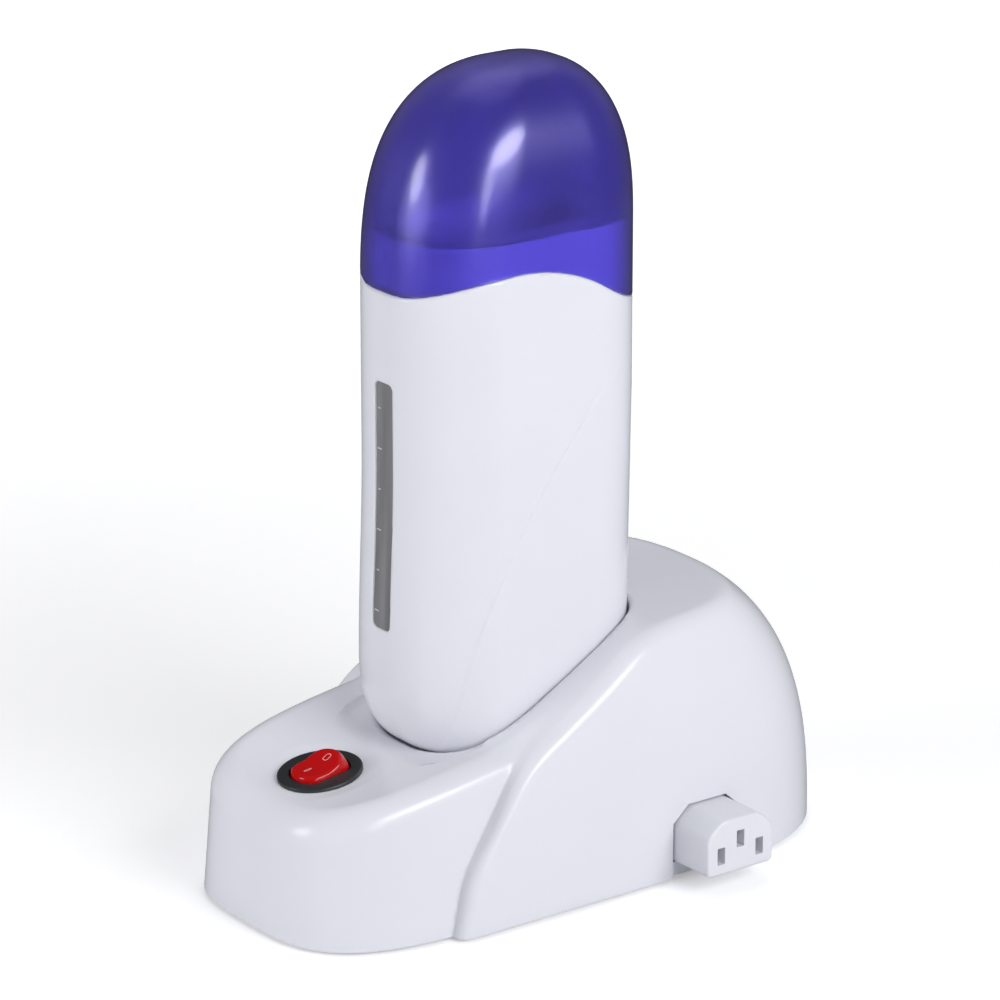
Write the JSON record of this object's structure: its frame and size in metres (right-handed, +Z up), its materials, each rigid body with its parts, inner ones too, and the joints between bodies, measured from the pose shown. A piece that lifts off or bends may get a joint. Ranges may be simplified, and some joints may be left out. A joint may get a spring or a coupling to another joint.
{
  "type": "roll-on wax heater with charging base",
  "caption": "Tall handheld roll-on wax heater with a lift-off translucent cap, standing in a low charging base with a rocker switch, a chain mains outlet and a mains inlet.",
  "frame": {"origin": "On the floor under the plane of symmetry of the handset, the cap and the base, 97 mm behind the tip of the base's nose", "axes": "+Z up, -Y towards the switch end of the base, +X towards the chain outlet"},
  "size_m": [0.1111, 0.1906, 0.2396],
  "materials": {
    "white_shell": "glossy moulded ABS, cool white",
    "white_cover": "fine spark-eroded texture",
    "white_socket": "semi-gloss moulded nylon",
    "violet_cap": "clear tinted, polished",
    "smoked_window": "smoked clear, polished",
    "red_rocker": "glossy, tinted through",
    "charcoal": "satin moulded nylon",
    "rubber": "soft matte",
    "screw_steel": "zinc plated",
    "spring_steel": "bright drawn",
    "brass": "stamped, bright",
    "aluminium": "rolled sheet",
    "ceramic_foil": "film-wrapped heater",
    "heat_resistant": "glass-filled nylon"
  },
  "bodies": {
    "base": {"base_upper_shell": "white_shell", "base_bottom_cover": "white_cover", "rubber_feet": "rubber", "bottom_cover_screws": "screw_steel", "switch_housing": "charcoal", "switch_terminals": "brass", "outlet_block": "white_socket", "outlet_contacts": "brass", "inlet_block": "white_socket", "inlet_pins": "brass", "contact_carrier": "charcoal", "contact_spring_left": "spring_steel", "contact_spring_right": "spring_steel"},
    "rocker": {"rocker_button": "red_rocker"},
    "plunger_left": {"contact_plunger_left": "brass"},
    "plunger_right": {"contact_plunger_right": "brass"},
    "handset": {"handset_shell": "white_shell", "handset_bottom_plate": "white_cover", "handset_contact_pads": "brass", "handset_screws": "screw_steel", "chamber_collar": "white_shell", "cartridge_sleeve": "heat_resistant", "heat_plate_left": "aluminium", "heat_plate_right": "aluminium", "ptc_heaters": "ceramic_foil", "thermal_fuse": "spring_steel", "window_lens": "smoked_window"},
    "cap": {"cap_shell": "violet_cap"}
  },
  "joints": [
    {"name": "rocker_tilt", "type": "hinge", "parent": "base", "child": "rocker", "pos_m": [0, -0.07065, 0.03931], "axis": [1, 0, 0], "range_deg": [-20, 0]},
    {"name": "plunger_left_press", "type": "slide", "parent": "base", "child": "plunger_left", "axis": [0, 0, 1], "range_m": [-0.0016, 0], "stiffness_N_per_m": 300, "deforming": ["contact_spring_left"]},
    {"name": "plunger_right_press", "type": "slide", "parent": "base", "child": "plunger_right", "axis": [0, 0, 1], "range_m": [-0.0016, 0], "stiffness_N_per_m": 300, "deforming": ["contact_spring_right"]},
    {"name": "handset_lift", "type": "slide", "parent": "base", "child": "handset", "axis": [0, 0, 1], "range_m": [0, 0.06]},
    {"name": "cap_lift", "type": "slide", "parent": "handset", "child": "cap", "axis": [0, 0, 1], "range_m": [0, 0.04]}
  ]
}
